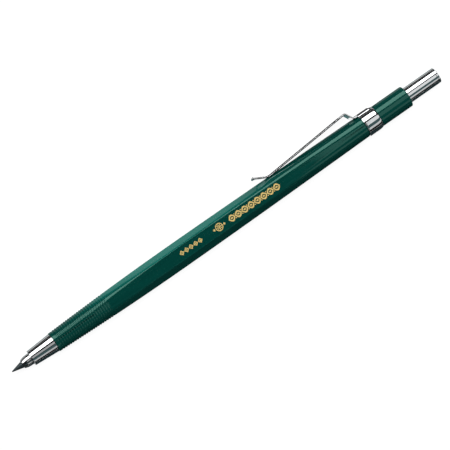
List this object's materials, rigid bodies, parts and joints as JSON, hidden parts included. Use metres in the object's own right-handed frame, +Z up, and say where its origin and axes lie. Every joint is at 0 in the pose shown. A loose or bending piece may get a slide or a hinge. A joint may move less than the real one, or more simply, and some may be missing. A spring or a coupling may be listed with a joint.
{
  "type": "lead holder",
  "caption": "Clutch pencil for a 2 mm lead: sprung collet in a chrome nose, six-sided tapered barrel with grip rings, pocket clip and push button that pulls off its tube.",
  "frame": {"origin": "middle of the box of the pencil in plan, on the plane that its clip ring lies on", "axes": "+X along the pencil from its point to its push button, +Y across it to the clip, +Z up, out of the marked flat"},
  "size_m": [0.1502, 0.0102, 0.0072],
  "materials": {
    "green_plastic": "polished dark green plastic",
    "chrome": "bright chrome plate",
    "collet_chrome": "turned brass with chrome plate",
    "brass": "drawn and turned brass",
    "spring_steel": "drawn spring wire",
    "blade_steel": "ground tool steel",
    "graphite": "dark grey graphite with a dull shine"
  },
  "bodies": {
    "casing": {"barrel": "green_plastic", "nose_cone": "chrome", "spring_washer": "spring_steel", "return_spring": "spring_steel", "clip_ring": "chrome", "rear_sleeve": "green_plastic"},
    "clip": {"clip_arm": "chrome"},
    "carriage": {"collet_base": "brass", "lead_tube": "brass", "spring_collar": "brass", "tube_ferrule": "brass"},
    "jaw_1": {"clutch_jaw_1": "collet_chrome"},
    "jaw_2": {"clutch_jaw_2": "collet_chrome"},
    "jaw_3": {"clutch_jaw_3": "collet_chrome"},
    "lead": {"lead": "graphite"},
    "button": {"push_button": "chrome", "button_end_cap": "chrome", "pointer_insert": "brass", "pointer_blade_1": "blade_steel", "pointer_blade_2": "blade_steel"}
  },
  "joints": [
    {"name": "button_press", "type": "slide", "parent": "casing", "child": "carriage", "axis": [-1, 0, 0], "range_m": [0, 0.003], "stiffness_N_per_m": 700, "springref_m": -0.004, "deforming": ["return_spring"]},
    {"name": "jaw_1_spread", "type": "hinge", "parent": "carriage", "child": "jaw_1", "pos_m": [-0.0526, -0.00026, 0.00441], "axis": [0, 0.6691, -0.7431], "range_deg": [0, 1.2]},
    {"name": "jaw_2_spread", "type": "hinge", "parent": "carriage", "child": "jaw_2", "pos_m": [-0.0526, -0.00092, 0.00239], "axis": [0, -0.9781, -0.2079], "range_deg": [0, 1.2]},
    {"name": "jaw_3_spread", "type": "hinge", "parent": "carriage", "child": "jaw_3", "pos_m": [-0.0526, -0.00234, 0.00397], "axis": [0, 0.309, 0.9511], "range_deg": [0, 1.2]},
    {"name": "lead_feed", "type": "slide", "parent": "carriage", "child": "lead", "axis": [-1, 0, 0], "range_m": [-0.00345, 0.12]},
    {"name": "button_pull", "type": "slide", "parent": "carriage", "child": "button", "axis": [1, 0, 0], "range_m": [0, 0.01]},
    {"name": "clip_flex", "type": "hinge", "parent": "casing", "child": "clip", "pos_m": [0.0486, 0.00247, 0.00359], "axis": [0, 0, -1], "range_deg": [0, 6], "stiffness_Nm_per_rad": 1.5, "springref_deg": -2.86}
  ],
  "couplings": [
    {"joint": "jaw_1_spread", "follows": "button_press", "rad_per_m": 6.667},
    {"joint": "jaw_2_spread", "follows": "button_press", "rad_per_m": 6.667},
    {"joint": "jaw_3_spread", "follows": "button_press", "rad_per_m": 6.667}
  ]
}
